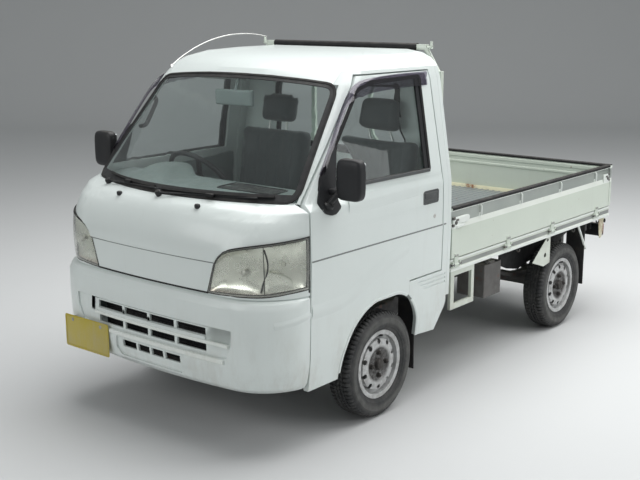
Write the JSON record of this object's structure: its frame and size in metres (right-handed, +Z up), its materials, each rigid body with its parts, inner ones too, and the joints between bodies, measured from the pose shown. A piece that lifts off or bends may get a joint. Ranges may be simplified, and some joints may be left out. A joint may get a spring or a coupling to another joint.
{
  "type": "kei truck",
  "caption": "Small forward-control pickup truck with a two-seat cab, drop-side load bed, guard frame, steered front wheels, and opening doors and gates.",
  "frame": {"origin": "on the ground under the middle of the truck's length and width", "axes": "+X to the truck's left, +Y towards its tailgate, +Z up"},
  "size_m": [1.77, 3.3949, 1.8136],
  "materials": {
    "white_paint": "faded gloss paint",
    "bed_paint": "worn gloss paint",
    "chassis_black": "dull chassis paint with rust",
    "bare_steel": "worn steel",
    "cast_metal": "rough casting",
    "rim_silver": "silver wheel paint with rust",
    "tyre_black": "tyre rubber",
    "rubber_black": "matt rubber",
    "window_glass": "clear glass",
    "lamp_lens": "clear moulded lens",
    "lamp_red": "lamp lens",
    "black_plastic": "moulded plastic",
    "dash_grey": "grained plastic",
    "seat_vinyl": "woven seat cloth",
    "plate_yellow": "pressed plate paint"
  },
  "bodies": {
    "chassis": {"frame": "chassis_black", "cab_floor": "white_paint", "cab_back": "white_paint", "cab_roof": "white_paint", "front_panel": "white_paint", "cab_glass": "window_glass", "headlights": "lamp_lens", "bumper": "white_paint", "dashboard": "dash_grey", "seats": "seat_vinyl", "bed_floor": "bed_paint", "bed_beams": "bed_paint", "battery_box": "black_plastic", "interior_mirror": "black_plastic", "guard_frame": "bed_paint", "rear_axle": "chassis_black", "rear_springs": "chassis_black", "front_suspension": "chassis_black", "engine": "cast_metal", "fuel_tank": "chassis_black", "silencer": "bare_steel", "antenna": "bare_steel", "rear_lamps": "lamp_red", "mudguards": "rubber_black", "wipers": "black_plastic", "spare_wheel": "tyre_black", "number_plates": "plate_yellow", "cab_side_left": "white_paint", "cab_side_right": "white_paint"},
    "steering_wheel": {"steering_wheel": "black_plastic"},
    "tailgate": {"tailgate": "bed_paint"},
    "knuckle_left": {"knuckle_left": "cast_metal"},
    "wheel_front_left": {"front_left_tyre": "tyre_black", "front_left_rim": "rim_silver"},
    "wheel_rear_left": {"rear_left_tyre": "tyre_black", "rear_left_rim": "rim_silver"},
    "door_left": {"door_left": "white_paint", "door_glass_left": "window_glass", "mirror_left": "black_plastic"},
    "side_gate_left": {"side_gate_left": "bed_paint"},
    "knuckle_right": {"knuckle_right": "cast_metal"},
    "wheel_front_right": {"front_right_tyre": "tyre_black", "front_right_rim": "rim_silver"},
    "wheel_rear_right": {"rear_right_tyre": "tyre_black", "rear_right_rim": "rim_silver"},
    "door_right": {"door_right": "white_paint", "door_glass_right": "window_glass", "mirror_right": "black_plastic"},
    "side_gate_right": {"side_gate_right": "bed_paint"}
  },
  "joints": [
    {"name": "steer_left", "type": "hinge", "parent": "chassis", "child": "knuckle_left", "pos_m": [0.58138, -0.8445, 0.264], "axis": [-0.2079, 0, 0.9781], "range_deg": [-35, 35]},
    {"name": "front_left_wheel_spin", "type": "hinge", "parent": "knuckle_left", "child": "wheel_front_left", "pos_m": [0.6525, -0.8445, 0.264], "axis": [1, 0, 0], "continuous": true},
    {"name": "rear_left_wheel_spin", "type": "hinge", "parent": "chassis", "child": "wheel_rear_left", "pos_m": [0.65, 1.0555, 0.264], "axis": [1, 0, 0], "continuous": true},
    {"name": "door_left_swing", "type": "hinge", "parent": "chassis", "child": "door_left", "pos_m": [0.733, -1.3865, 0.9], "axis": [0, 0, -1], "range_deg": [0, 70]},
    {"name": "side_gate_left_fold", "type": "hinge", "parent": "chassis", "child": "side_gate_left", "pos_m": [0.731, 0.7185, 0.645], "axis": [0, 1, 0], "range_deg": [0, 180]},
    {"name": "steer_right", "type": "hinge", "parent": "chassis", "child": "knuckle_right", "pos_m": [-0.58138, -0.8445, 0.264], "axis": [0.2079, 0, 0.9781], "range_deg": [-35, 35]},
    {"name": "front_right_wheel_spin", "type": "hinge", "parent": "knuckle_right", "child": "wheel_front_right", "pos_m": [-0.6525, -0.8445, 0.264], "axis": [1, 0, 0], "continuous": true},
    {"name": "rear_right_wheel_spin", "type": "hinge", "parent": "chassis", "child": "wheel_rear_right", "pos_m": [-0.65, 1.0555, 0.264], "axis": [1, 0, 0], "continuous": true},
    {"name": "door_right_swing", "type": "hinge", "parent": "chassis", "child": "door_right", "pos_m": [-0.733, -1.3865, 0.9], "axis": [0, 0, 1], "range_deg": [0, 70]},
    {"name": "side_gate_right_fold", "type": "hinge", "parent": "chassis", "child": "side_gate_right", "pos_m": [-0.731, 0.7185, 0.645], "axis": [0, -1, 0], "range_deg": [0, 180]},
    {"name": "tailgate_fold", "type": "hinge", "parent": "chassis", "child": "tailgate", "pos_m": [0, 1.691, 0.645], "axis": [-1, 0, 0], "range_deg": [0, 180]},
    {"name": "steering_wheel_turn", "type": "hinge", "parent": "chassis", "child": "steering_wheel", "pos_m": [-0.345, -0.9925, 1.085], "axis": [0, 0.788, 0.6157], "range_deg": [-630, 630]}
  ],
  "couplings": [
    {"joint": "steer_right", "follows": "steer_left", "ratio": 1},
    {"joint": "steering_wheel_turn", "follows": "steer_left", "ratio": 18}
  ]
}
